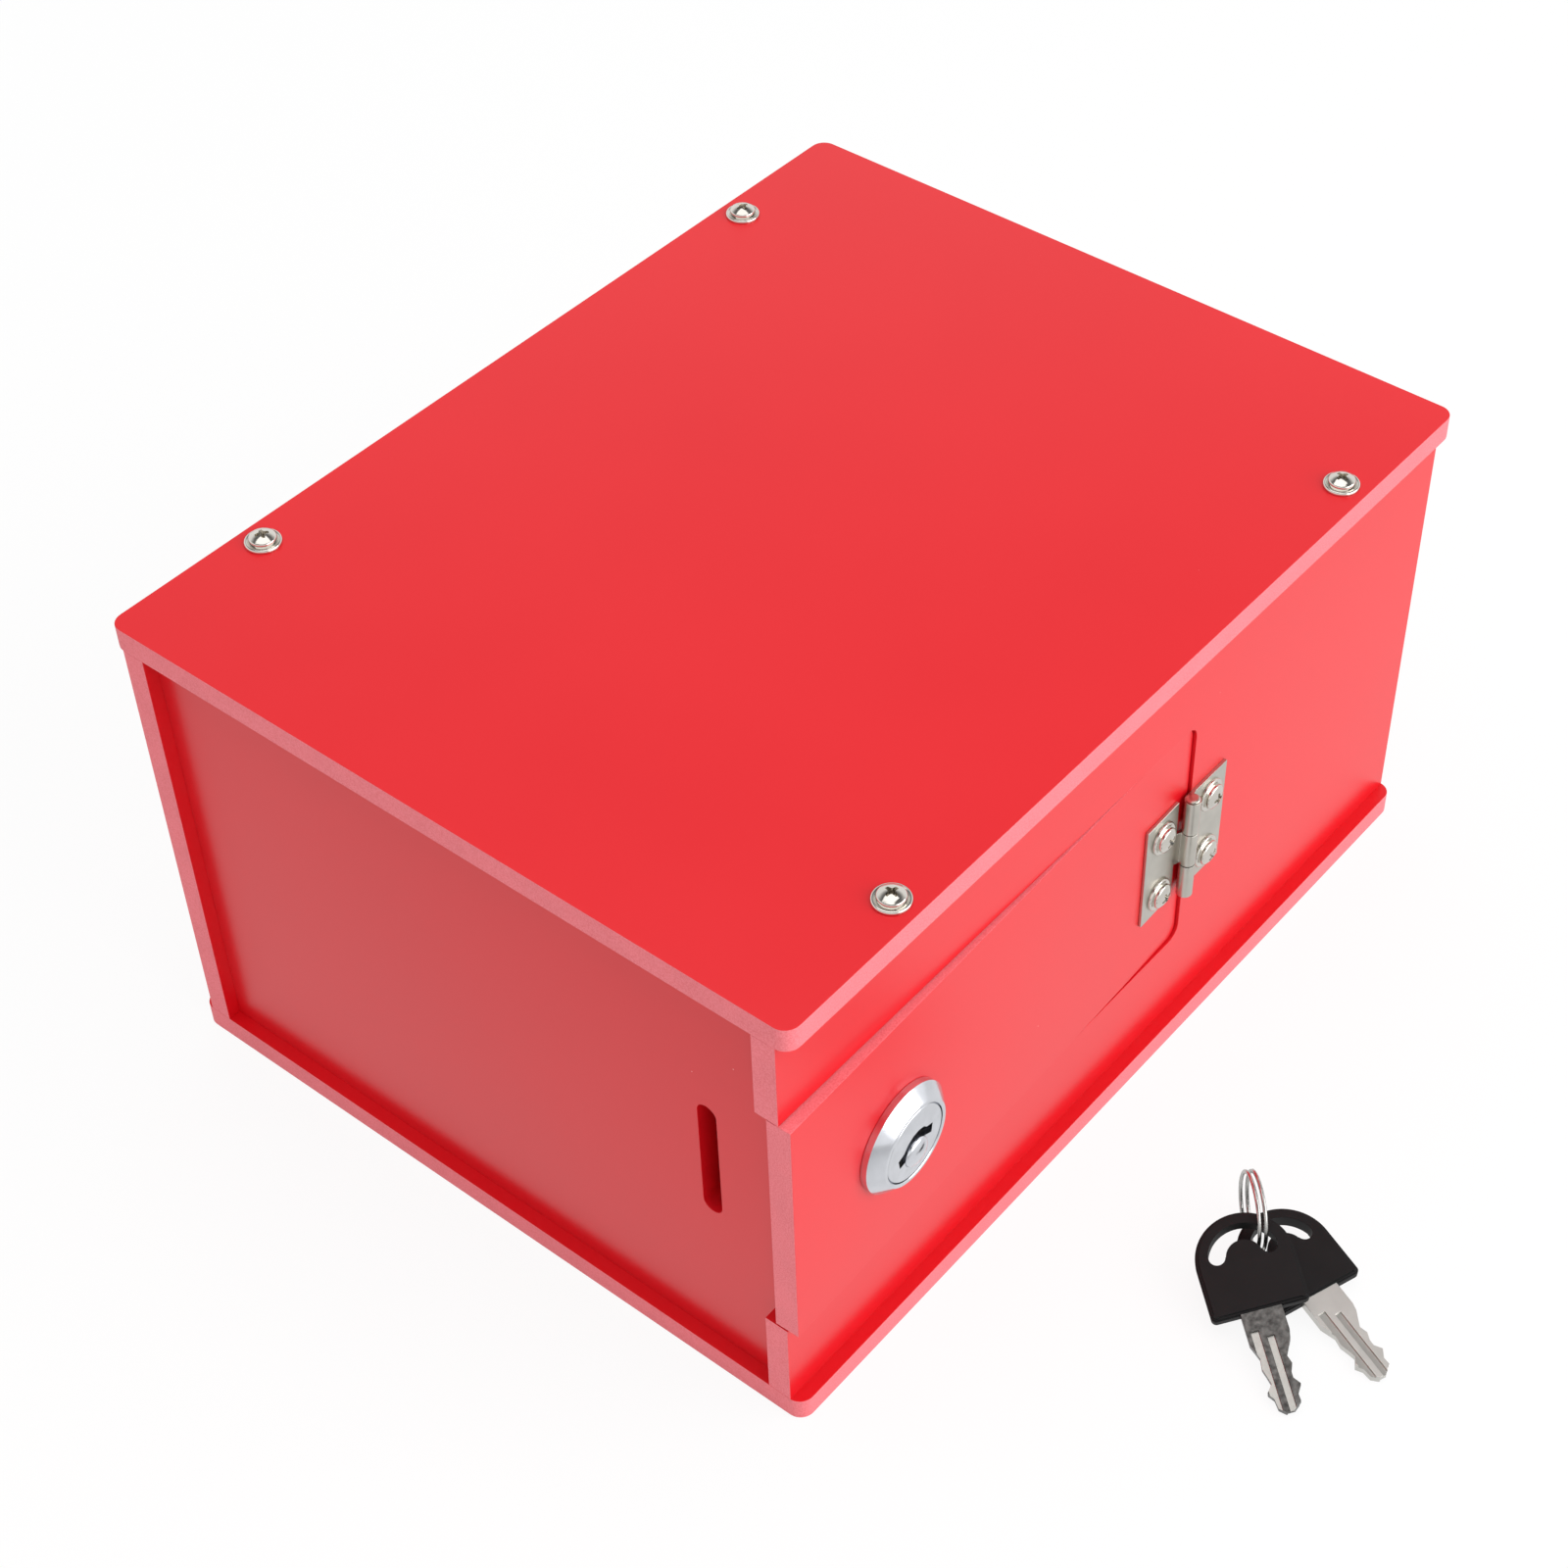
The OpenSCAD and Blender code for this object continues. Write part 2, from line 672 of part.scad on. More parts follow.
module cam_outline() {
    span = cam_len - cam_tip_r;
    lean = asin((cam_root_r - cam_tip_r) / span);
    circle(cam_root_r);
    translate([0, span]) circle(cam_tip_r);
    polygon([
        [cam_root_r * cos(lean), cam_root_r * sin(lean)],
        [cam_tip_r * cos(lean), span + cam_tip_r * sin(lean)],
        [-cam_tip_r * cos(lean), span + cam_tip_r * sin(lean)],
        [-cam_root_r * cos(lean), cam_root_r * sin(lean)]]);
}

module lock_cam() {
    color(NICKEL) at_lock() translate([0, 0, -cam_back]) linear_extrude(cam_t) difference() {
        cam_outline();
        square(tail_af + 2 * tail_gap, center = true);
    }
}

module cam_washer() {
    color(NICKEL) at_lock() translate([0, 0, -cam_back - cam_washer_t]) difference() {
        cylinder(d = cam_washer_d, h = cam_washer_t);
        translate([0, 0, -cut]) cylinder(d = cam_screw_d + 4 * screw_hole_gap, h = cam_washer_t + 2 * cut);
    }
}

module cam_screw() {
    head_z = -cam_back - cam_washer_t;
    color(NICKEL) at_lock() difference() {
        union() {
            translate([0, 0, head_z]) cylinder(d = cam_screw_d, h = cam_screw_len);
            translate([0, 0, head_z - cam_screw_head_h])
                cylinder(d1 = cam_screw_head_d - 1, d2 = cam_screw_head_d, h = cam_screw_head_h);
        }
        for (turn = [0, 90]) rotate([0, 0, turn])
            translate([-recess_len / 2, -recess_w / 2, head_z - cam_screw_head_h - cut])
                cube([recess_len, recess_w, recess_depth + cut]);
    }
}

// Keys

// Outline of the bow, drawn in by the given amount
module bow_outline(inset) {
    circle(bow_r - inset);
    translate([0, -bow_r + inset]) square([bow_flat - bow_corner_r, bow_w - 2 * inset]);
    translate([0, -bow_r + bow_corner_r]) square([bow_flat - inset, bow_w - 2 * bow_corner_r]);
    for (y = [-1, 1]) translate([bow_flat - bow_corner_r, y * (bow_r - bow_corner_r)])
        circle(bow_corner_r - min(inset, bow_corner_r / 2));
}

// The crescent eye, with round ends, drawn round its own middle
module eye_outline() {
    far = 2 * eye_out;
    difference() {
        circle(eye_out);
        circle(eye_in);
        polygon([
            [0, 0],
            [-far * cos(eye_span), far * sin(eye_span)],
            [far, far],
            [far, -far],
            [-far * cos(eye_span), -far * sin(eye_span)]]);
    }
    for (side = [-1, 1]) rotate(180 + side * eye_span) translate([(eye_in + eye_out) / 2, 0])
        circle(eye_end_r);
}

// Points of one cut edge, at the given side of the blade
function cut_edge(cuts, side) = [for (c = cuts)
    [bow_flat + c[0] * blade_len, side * (blade_w / 2 - c[1] * cut_depth)]];

// Height of a key's middle plane above its lowest point, with the key lying on the floor
function key_low(tilt, roll) = blade_t / 2 * cos(roll) * cos(tilt)
    + max([for (p = concat(cut_edge(right_cuts, -1), [[blade_tip, blade_tip_right]]))
        p[0] * sin(tilt) - p[1] * sin(roll) * cos(tilt)]);

// Height of the place in the eye that the ring passes, at the given side
function hole_height(tilt, roll, side) = key_low(tilt, roll)
    - hole_x * sin(tilt) + side * hole_y * sin(roll) * cos(tilt);

function backwards(list) = [for (k = [len(list) - 1 : -1 : 0]) list[k]];

module blade_outline() {
    head_x = bow_flat - blade_head;
    polygon(concat(
        [[head_x, -blade_w / 2], [head_x, blade_w / 2]],
        cut_edge(left_cuts, 1),
        [[blade_tip, blade_tip_left], [blade_tip, blade_tip_right]],
        backwards(cut_edge(right_cuts, -1))));
}

module key_bow() {
    rim = bow_t / 2;
    color(BLACK) difference() {
        union() {
            for (side = [0, 1]) mirror([0, 0, side]) {
                linear_extrude(rim - bow_bevel) bow_outline(0);
                translate([0, 0, rim - bow_bevel]) linear_extrude(bow_bevel / 2) bow_outline(bow_bevel * 0.4);
                linear_extrude(rim) bow_outline(bow_bevel);
            }
        }
        translate([0, 0, -bow_t]) linear_extrude(2 * bow_t) translate([eye_x, 0])
            eye_outline();
        key_blade_blank(0);
    }
}

module key_blade_blank(grow) {
    translate([bow_flat - blade_head, -blade_w / 2, -blade_t / 2])
        cube([blade_head + cut + grow, blade_w, blade_t]);
}

module key_blade() {
    color(NICKEL) difference() {
        translate([0, 0, -blade_t / 2]) linear_extrude(blade_t) blade_outline();
        for (side = [-1, 1]) {
            blade_groove(side, side_groove_from, side_groove_y, side_groove_w);
            blade_groove(side, mid_groove_from, mid_groove_y, mid_groove_w);
        }
    }
}

// A groove in the upper face for side 1, and its copy turned over for side -1
module blade_groove(side, from, y, w) {
    translate([bow_flat + from, side * y - w / 2, side * blade_t / 2 - groove_d])
        cube([blade_len, w, 2 * groove_d]);
}

// The place in the eye on the given side comes to the ring's wire
module place_key(at, z, turn, tilt, roll, side) {
    translate([at[0], at[1], z]) rotate([roll, tilt, turn])
        translate([-hole_x, -side * hole_y, 0]) children();
}

module place_key_a() {
    place_key(key_a_at, key_a_z, key_a_turn, key_a_tilt, key_a_roll, 1) children();
}

module place_key_b() {
    place_key(key_b_at, key_b_z, key_b_turn, key_b_tilt, key_b_roll, -1) children();
}

module key_a_bow() {
    place_key_a() key_bow();
}

module key_a_blade() {
    place_key_a() key_blade();
}

module key_b_bow() {
    place_key_b() key_bow();
}

module key_b_blade() {
    place_key_b() key_blade();
}

// Split ring: one wire of nearly two turns, which steps from one turn to the next
function ring_angle(k) = ring_start + ring_turn * k / (ring_steps - 1);
function ring_shift(a) = ring_pitch * (min(1, max(0, (a - ring_step_from) / ring_step_by)) - 0.5);
function ring_point(a) = [ring_r * cos(a), ring_r * sin(a), ring_shift(a)];
function ring_section(a) = [for (j = [0 : ring_sides - 1])
    let (t = 360 * (j + 0.5) / ring_sides, r = ring_r + ring_wire_d / 2 * cos(t))
    [r * cos(a), r * sin(a), ring_shift(a) + ring_wire_d / 2 * sin(t)]];

ring_path = [for (k = [0 : ring_steps - 1]) ring_point(ring_angle(k))];
ring_least = min([for (i = [0 : ring_steps - 1], j = [0 : ring_steps - 1])
    if (ring_angle(j) - ring_angle(i) > 180) norm(ring_path[i] - ring_path[j])]);
echo(ring_gap = ring_least - ring_wire_d);

module ring_wire() {
    n = ring_sides;
    last = (ring_steps - 1) * n;
    points = [for (k = [0 : ring_steps - 1]) each ring_section(ring_angle(k))];
    walls = [for (k = [0 : ring_steps - 2], j = [0 : n - 1], half = [0, 1])
        let (a = k * n + j, b = k * n + (j + 1) % n)
        half == 0 ? [a, a + n, b + n] : [a, b + n, b]];
    ends = [for (j = [1 : n - 2], end = [0, 1])
        end == 0 ? [0, j, j + 1] : [last, last + j + 1, last + j]];
    polyhedron(points, concat(walls, ends));
}

module key_ring() {
    color(NICKEL) translate([ring_at[0], ring_at[1], ring_z])
        rotate([90, 0, ring_dir]) rotate([0, 0, ring_split_at]) ring_wire();
}

bottom_plate();
top_plate();
front_panel();
back_panel();
left_panel();
right_panel();
plate_screws();
hinge_frame_leaf();
hinge_pin();
hinge_frame_screws();
door();
hinge_door_leaf();
hinge_door_screws();
lock_body();
lock_nut();
lock_plug();
lock_wafers();
lock_wafer_springs();
lock_stop_disc();
lock_cam();
cam_washer();
cam_screw();
lock_shutter();
key_ring();
key_a_bow();
key_a_blade();
key_b_bow();
key_b_blade();
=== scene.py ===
"""Red foam-board ballot box with a hinged locking door, its cam lock and two keys on a split ring."""

import math

import bmesh
import bpy
from mathutils import Euler, Matrix, Vector


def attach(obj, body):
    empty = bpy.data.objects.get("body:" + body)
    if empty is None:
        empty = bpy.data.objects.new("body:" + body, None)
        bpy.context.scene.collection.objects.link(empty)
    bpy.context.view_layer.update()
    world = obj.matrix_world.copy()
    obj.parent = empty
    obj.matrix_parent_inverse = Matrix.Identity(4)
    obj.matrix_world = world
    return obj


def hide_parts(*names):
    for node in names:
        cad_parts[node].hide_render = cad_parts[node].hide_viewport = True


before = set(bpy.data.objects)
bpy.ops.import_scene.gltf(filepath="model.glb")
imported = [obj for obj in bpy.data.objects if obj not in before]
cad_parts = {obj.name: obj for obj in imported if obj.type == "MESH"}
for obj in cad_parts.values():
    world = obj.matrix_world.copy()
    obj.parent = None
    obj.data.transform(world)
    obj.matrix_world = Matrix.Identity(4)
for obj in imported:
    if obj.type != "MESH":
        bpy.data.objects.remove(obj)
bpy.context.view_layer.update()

MM = 0.001
PHOTO_SIZE = 1600

# Sizes in millimetres, in the same frame as the solids
HINGE_AXIS = (17.7, -76.8)
HINGE_Z = 52.3
LEAF_H = 25.0
PIN_D = 1.6
BARREL_D = 3.2
DOOR_AJAR = 1.45
DOOR_FACE = 2.2
BOARD_T = 5.0
LOCK_ALONG = -88.5
LOCK_Z = 52.7
TOP_Z = 105.5
PLATE_SCREW = (67.5, 72.7)
LEAF_SCREW = (7.5, 7.5)
LEAF_T = 0.7


# Scene basics

def place(dx, dy, dz):
    return Matrix.Translation(Vector((dx, dy, dz)))


def turn(angle, axis):
    return Matrix.Rotation(math.radians(angle), 4, axis)


AT_BOX = Matrix.Identity(4)
AT_HINGE = place(HINGE_AXIS[0], HINGE_AXIS[1], 0)
AT_DOOR = AT_HINGE @ turn(DOOR_AJAR, "Z")
AT_LOCK = AT_DOOR @ place(LOCK_ALONG, DOOR_FACE, LOCK_Z) @ turn(90, "X")


def new_object(name, mesh):
    obj = bpy.data.objects.new(name, mesh)
    bpy.context.scene.collection.objects.link(obj)
    return obj


def from_bmesh(name, bm, at=AT_BOX):
    """A finished mesh object from millimetre geometry, drawn in the frame `at`."""
    mesh = bpy.data.meshes.new(name)
    bm.to_mesh(mesh)
    bm.free()
    mesh.transform(Matrix.Scale(MM, 4) @ at)
    return new_object(name, mesh)


def settle(obj):
    """Turns the modified object into a plain mesh."""
    depsgraph = bpy.context.evaluated_depsgraph_get()
    mesh = bpy.data.meshes.new_from_object(obj.evaluated_get(depsgraph))
    old = obj.data
    obj.modifiers.clear()
    if obj.type == "MESH":
        obj.data = mesh
        bpy.data.meshes.remove(old)
        return obj
    plain = new_object(obj.name + "_mesh", mesh)
    name = obj.name
    bpy.data.objects.remove(obj)
    plain.name = name
    return plain


def smooth(obj, angle=35):
    obj.data.shade_smooth()
    obj.data.set_sharp_from_angle(angle=math.radians(angle))
    return obj


def soften(obj, width, segments=2, angle=35):
    """Breaks the sharp edges with a small round."""
    bevel = obj.modifiers.new("edge", "BEVEL")
    bevel.width = width * MM
    bevel.segments = segments
    bevel.limit_method = "ANGLE"
    bevel.angle_limit = math.radians(angle)
    bevel.use_clamp_overlap = True
    obj.data.shade_smooth()
    weighted = obj.modifiers.new("flat_faces", "WEIGHTED_NORMAL")
    weighted.weight = 100
    return settle(obj)


def solid_copy(node, name):
    """A welded copy of a solid's mesh, with its flat faces joined."""
    bm = bmesh.new()
    bm.from_mesh(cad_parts[node].data)
    bmesh.ops.remove_doubles(bm, verts=bm.verts, dist=0.002 * MM)
    bmesh.ops.dissolve_limit(bm, angle_limit=math.radians(0.3), verts=bm.verts, edges=bm.edges)
    mesh = bpy.data.meshes.new(name)
    bm.to_mesh(mesh)
    bm.free()
    return new_object(name, mesh)


def finish_piece(obj, body, node, material=None):
    if material is not None:
        obj.data.materials.clear()
        obj.data.materials.append(material)
    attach(obj, body)
    if node:
        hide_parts(node)
    return obj


# Materials

def linear(hex_colour):
    """Linear RGBA from an sRGB hex colour."""
    values = [int(hex_colour[i:i + 2], 16) / 255 for i in (1, 3, 5)]
    return [v / 12.92 if v <= 0.04045 else ((v + 0.055) / 1.055) ** 2.4 for v in values] + [1.0]


def add(tree, kind, settings=None, inputs=None):
    """Adds a node: settings are its properties, inputs its values or links by socket."""
    node = tree.nodes.new(kind)
    for key, value in (settings or {}).items():
        setattr(node, key, value)
    for key, value in (inputs or {}).items():
        if isinstance(value, bpy.types.NodeSocket):
            tree.links.new(value, node.inputs[key])
        else:
            node.inputs[key].default_value = value
    return node


def ramp(node, *stops):
    elements = node.color_ramp.elements
    while len(elements) > len(stops):
        elements.remove(elements[-1])
    while len(elements) < len(stops):
        elements.new(1.0)
    for element, (position, colour) in zip(elements, stops):
        element.position = position
        element.color = colour if not isinstance(colour, (int, float)) else (colour, colour, colour, 1)
    return node


def new_material(name):
    material = bpy.data.materials.new(name)
    material.use_nodes = True
    tree = material.node_tree
    shader = tree.nodes["Principled BSDF"]
    where = add(tree, "ShaderNodeTexCoord").outputs["Object"]
    return material, tree, shader, where


def per_mm(millimetres):
    """Pattern scale whose features repeat about every so many millimetres."""
    return 1.0 / (millimetres * MM)


def foam_board_skin():
    """PVC foam board's moulded skin: satin red, faintly clouded, with sparse pale dust specks."""
    material, tree, shader, where = new_material("foam_board_skin")
    cloud = add(tree, "ShaderNodeTexNoise", None, {"Vector": where, "Scale": per_mm(60), "Detail": 2})
    tint = ramp(add(tree, "ShaderNodeValToRGB", None, {"Fac": cloud.outputs["Fac"]}),
                (0.3, linear("#dc0f1c")), (0.7, linear("#e0121e")))
    specks = add(tree, "ShaderNodeTexVoronoi", {"feature": "F1"}, {"Vector": where, "Scale": per_mm(9)})
    dot = ramp(add(tree, "ShaderNodeValToRGB", None, {"Fac": specks.outputs["Distance"]}),
               (0.010, 1.0), (0.016, 0.0))
    chosen = ramp(add(tree, "ShaderNodeValToRGB", None, {"Fac": specks.outputs["Color"]}),
                  (0.62, 0.0), (0.64, 1.0))
    dust = add(tree, "ShaderNodeMath", {"operation": "MULTIPLY"},
               {0: dot.outputs["Color"], 1: chosen.outputs["Color"]})
    colour = add(tree, "ShaderNodeMix", {"data_type": "RGBA"},
                 {"Factor": dust.outputs[0], 6: tint.outputs["Color"], 7: linear("#f0b4b4")})
    tree.links.new(colour.outputs[2], shader.inputs["Base Color"])
    peel = add(tree, "ShaderNodeTexNoise", None, {"Vector": where, "Scale": per_mm(1.6), "Detail": 3})
    gloss = add(tree, "ShaderNodeMapRange", None,
                {"Value": cloud.outputs["Fac"], "To Min": 0.26, "To Max": 0.32})
    tree.links.new(gloss.outputs["Result"], shader.inputs["Roughness"])
    bump = add(tree, "ShaderNodeBump", None,
               {"Height": peel.outputs["Fac"], "Strength": 0.05, "Distance": 0.02 * MM})
    tree.links.new(bump.outputs["Normal"], shader.inputs["Normal"])
    shader.inputs["IOR"].default_value = 1.53
    return material


def foam_board_sawn_edge():
    """Foam board's sawn edge: the open cells scatter more light, so it is paler, pinker and matt."""
    material, tree, shader, where = new_material("foam_board_sawn_edge")
    cells = add(tree, "ShaderNodeTexNoise", None, {"Vector": where, "Scale": per_mm(0.3), "Detail": 2})
    wide = add(tree, "ShaderNodeTexNoise", None, {"Vector": where, "Scale": per_mm(7), "Detail": 2})
    pale = ramp(add(tree, "ShaderNodeValToRGB", None, {"Fac": cells.outputs["Fac"]}),
                (0.3, linear("#ee6e76")), (0.7, linear("#fa868e")))
    shade = ramp(add(tree, "ShaderNodeValToRGB", None, {"Fac": wide.outputs["Fac"]}),
                 (0.3, 0.94), (0.7, 1.0))
    colour = add(tree, "ShaderNodeMix", {"data_type": "RGBA", "blend_type": "MULTIPLY"},
                 {"Factor": 1.0, 6: pale.outputs["Color"], 7: shade.outputs["Color"]})
    tree.links.new(colour.outputs[2], shader.inputs["Base Color"])
    shader.inputs["Roughness"].default_value = 0.6
    bump = add(tree, "ShaderNodeBump", None,
               {"Height": cells.outputs["Fac"], "Strength": 0.15, "Distance": 0.03 * MM})
    tree.links.new(bump.outputs["Normal"], shader.inputs["Normal"])
    shader.inputs["IOR"].default_value = 1.5
    return material


def plated_metal(name, tone, rough_low, rough_high, grain_mm, stretch=(1, 1, 1), bump_strength=0.04,
                 cloud_mm=4, darkest=0.9):
    """A plated metal: its tone clouds between shares of itself, and fine grain breaks its reflections."""
    material, tree, shader, where = new_material(name)
    shader.inputs["Metallic"].default_value = 1.0
    spread = add(tree, "ShaderNodeMapping", None, {"Vector": where, "Scale": stretch})
    grain = add(tree, "ShaderNodeTexNoise", None,
                {"Vector": spread.outputs["Vector"], "Scale": per_mm(grain_mm), "Detail": 3})
    cloud = add(tree, "ShaderNodeTexNoise", None, {"Vector": where, "Scale": per_mm(cloud_mm), "Detail": 2})
    base = linear(tone)
    low = [c * darkest for c in base[:3]] + [1.0]
    tint = ramp(add(tree, "ShaderNodeValToRGB", None, {"Fac": cloud.outputs["Fac"]}), (0.3, low), (0.7, base))
    tree.links.new(tint.outputs["Color"], shader.inputs["Base Color"])
    gloss = add(tree, "ShaderNodeMapRange", None,
                {"Value": grain.outputs["Fac"], "To Min": rough_low, "To Max": rough_high})
    tree.links.new(gloss.outputs["Result"], shader.inputs["Roughness"])
    bump = add(tree, "ShaderNodeBump", None,
               {"Height": grain.outputs["Fac"], "Strength": bump_strength, "Distance": 0.02 * MM})
    tree.links.new(bump.outputs["Normal"], shader.inputs["Normal"])
    return material


def moulded_black_plastic():
    """Moulded black polypropylene: almost black, matt, with the mould's fine spark texture."""
    material, tree, shader, where = new_material("moulded_black_polypropylene")
    cloud = add(tree, "ShaderNodeTexNoise", None, {"Vector": where, "Scale": per_mm(5), "Detail": 3})
    tint = ramp(add(tree, "ShaderNodeValToRGB", None, {"Fac": cloud.outputs["Fac"]}),
                (0.3, linear("#0c0c0d")), (0.7, linear("#121213")))
    tree.links.new(tint.outputs["Color"], shader.inputs["Base Color"])
    grit = add(tree, "ShaderNodeTexNoise", None, {"Vector": where, "Scale": per_mm(0.25), "Detail": 2})
    gloss = add(tree, "ShaderNodeMapRange", None,
                {"Value": cloud.outputs["Fac"], "To Min": 0.5, "To Max": 0.6})
    tree.links.new(gloss.outputs["Result"], shader.inputs["Roughness"])
    bump = add(tree, "ShaderNodeBump", None,
               {"Height": grit.outputs["Fac"], "Strength": 0.12, "Distance": 0.02 * MM})
    tree.links.new(bump.outputs["Normal"], shader.inputs["Normal"])
    shader.inputs["IOR"].default_value = 1.49
    shader.inputs["Specular IOR Level"].default_value = 0.25
    return material


SKIN = foam_board_skin()
SAWN = foam_board_sawn_edge()
SCREW_NICKEL = plated_metal("nickel_plated_screw", "#dcd8d0", 0.09, 0.15, 0.5)
HINGE_NICKEL = plated_metal("nickel_plated_sheet", "#cdc9c0", 0.28, 0.38, 0.35, (1, 1, 0.12))
CHROME = plated_metal("chrome_plated_zinc", "#e2e4ea", 0.15, 0.2, 0.6, (1, 1, 1), 0.02)
BRASS = plated_metal("stamped_brass", "#c9a55a", 0.25, 0.35, 0.4)
STEEL = plated_metal("bright_steel", "#bdbcb9", 0.2, 0.32, 0.5)
BLADE_METALS = {"a": plated_metal("tarnished_nickel_silver", "#6c6a68", 0.22, 0.4, 0.8, (1, 1, 1), 0.3,
                                   1.1, 0.35),
                "b": plated_metal("worn_nickel_silver", "#d6d4cf", 0.3, 0.42, 0.8, (1, 1, 1), 0.12)}
MILLED_METAL = plated_metal("milled_nickel_silver", "#b4b2ad", 0.25, 0.4, 0.6, (1, 1, 1), 0.15)
BOW_PLASTIC = moulded_black_plastic()


# Boards: skin on the wide faces, sawn edges round them

# A side face counts as outline when its middle is this near to the board's bounds, in millimetres
OUTLINE_NEAR = 3.6

def board(node, name, thin_axis, body):
    """Only the board's outline is left sawn; the walls of its holes get the darker red skin instead, as painted
    shade inside them.
    """
    obj = solid_copy(node, name)
    obj.data.materials.append(SKIN)
    obj.data.materials.append(SAWN)
    corners = [Vector(corner) for corner in obj.bound_box]
    low = [min(c[axis] for c in corners) for axis in range(3)]
    high = [max(c[axis] for c in corners) for axis in range(3)]
    for face in obj.data.polygons:
        rim = any(min(face.center[axis] - low[axis], high[axis] - face.center[axis]) < OUTLINE_NEAR * MM
                  for axis in range(3) if axis != thin_axis)
        # Side faces away from the outline (walls of holes, slot and door opening) take the skin's darker red:
        # painted shade
        face.material_index = 1 if rim and abs(face.normal[thin_axis]) < 0.7 else 0
    obj = soften(obj, 0.1, 2)
    return finish_piece(obj, body, node)


board("bottom_plate", "bottom_board", 2, "box")
board("top_plate", "top_board", 2, "box")
board("front_panel", "front_board", 1, "box")
board("back_panel", "back_board", 1, "box")
board("left_panel", "left_board", 0, "box")
board("right_panel", "right_board", 0, "box")
board("door", "door_board", 1, "door")


# Turned pieces

def lathe(profile, steps=72, radius_at=None):
    """Turns a closed profile of (radius, height) points round Z. radius_at may change a radius by its angle."""
    bm = bmesh.new()
    rings = []
    for radius, height in profile:
        ring = []
        if radius < 1e-6:
            ring = [bm.verts.new((0, 0, height))] * steps
        else:
            for k in range(steps):
                angle = 2 * math.pi * k / steps
                r = radius if radius_at is None else radius_at(radius, height, angle)
                ring.append(bm.verts.new((r * math.cos(angle), r * math.sin(angle), height)))
        rings.append(ring)
    for a, b in zip(rings, rings[1:] + rings[:1]):
        for k in range(steps):
            corners = []
            for vert in (a[k], a[(k + 1) % steps], b[(k + 1) % steps], b[k]):
                if vert not in corners:
                    corners.append(vert)
            if len(corners) > 2:
                bm.faces.new(corners)
    bmesh.ops.recalc_face_normals(bm, faces=bm.faces)
    return bm


def cut_away(obj, cutter):
    """Cuts the cutter out of the piece and removes the cutter."""
    boolean = obj.modifiers.new("cut", "BOOLEAN")
    boolean.operation = "DIFFERENCE"
    boolean.solver = "EXACT"
    boolean.object = cutter
    obj = settle(obj)
    bpy.data.objects.remove(cutter)
    return obj


def prism(outline, low, high):
    bm = bmesh.new()
    base = [bm.verts.new((x, y, low)) for x, y in outline]
    top = [bm.verts.new((x, y, high)) for x, y in outline]
    bm.faces.new(list(reversed(base)))
    bm.faces.new(top)
    for k in range(len(outline)):
        n = (k + 1) % len(outline)
        bm.faces.new((base[k], base[n], top[n], top[k]))
    bmesh.ops.recalc_face_normals(bm, faces=bm.faces)
    return bm


# Screws: one head, set at each place by geometry nodes

FLANGE_R = 3.5
FLANGE_T = 0.7
DOME_R = 2.6
DOME_H = 1.5
DOME_WALL = 0.8
SHANK_R = 1.5


def screw_profile(length):
    points = [(0, -length), (SHANK_R * 0.3, -length + 0.4), (SHANK_R, -length + 3.0)]
    pitch = 1.1
    z = -length + 3.0
    while z < -1.4:
        points += [(SHANK_R, z + 0.25), (SHANK_R * 0.78, z + 0.55), (SHANK_R * 0.78, z + 0.85), (SHANK_R, z + pitch)]
        z += pitch
    points += [(SHANK_R, -0.1), (FLANGE_R - 0.1, 0), (FLANGE_R, 0.1), (FLANGE_R, FLANGE_T - 0.3),
               (FLANGE_R - 0.12, FLANGE_T - 0.08), (FLANGE_R - 0.3, FLANGE_T), (DOME_R + 0.3, FLANGE_T - 0.05),
               (DOME_R + 0.05, FLANGE_T - 0.25), (DOME_R - 0.05, FLANGE_T - 0.25)]
    cap = DOME_H - DOME_WALL
    top_r = DOME_R - 0.25
    sphere = (top_r ** 2 + cap ** 2) / (2 * cap)
    points += [(DOME_R, FLANGE_T), (DOME_R - 0.02, FLANGE_T + DOME_WALL - 0.25),
               (DOME_R - 0.1, FLANGE_T + DOME_WALL - 0.08)]
    for k in range(9):
        angle = math.asin(top_r / sphere) * (1 - k / 8)
        points.append((sphere * math.sin(angle), FLANGE_T + DOME_H - sphere + sphere * math.cos(angle)))
    points[-1] = (0, FLANGE_T + DOME_H)
    return points


def cross_recess(top, half_length, half_width, depth):
    """The driver's cross: four tapering wings that meet in a pointed well."""
    outline = []
    for k in range(4):
        angle = math.pi / 2 * k
        c, s = math.cos(angle), math.sin(angle)
        for x, y in ((half_width * 1.5, -half_width), (half_length, -half_width * 0.8),
                     (half_length, half_width * 0.8), (half_width * 1.5, half_width)):
            outline.append((x * c - y * s, x * s + y * c))
    bm = prism(outline, top - depth, top + 1)
    for vert in bm.verts:
        if vert.co.z < top:
            vert.co.x *= 0.45
            vert.co.y *= 0.45
    return bm


def screw_head(name, length):
    obj = from_bmesh(name, lathe(screw_profile(length), 48))
    cutter = from_bmesh(name + "_recess", cross_recess(FLANGE_T + DOME_H, 1.75, 0.5, 1.6))
    return smooth(cut_away(obj, cutter), 40)


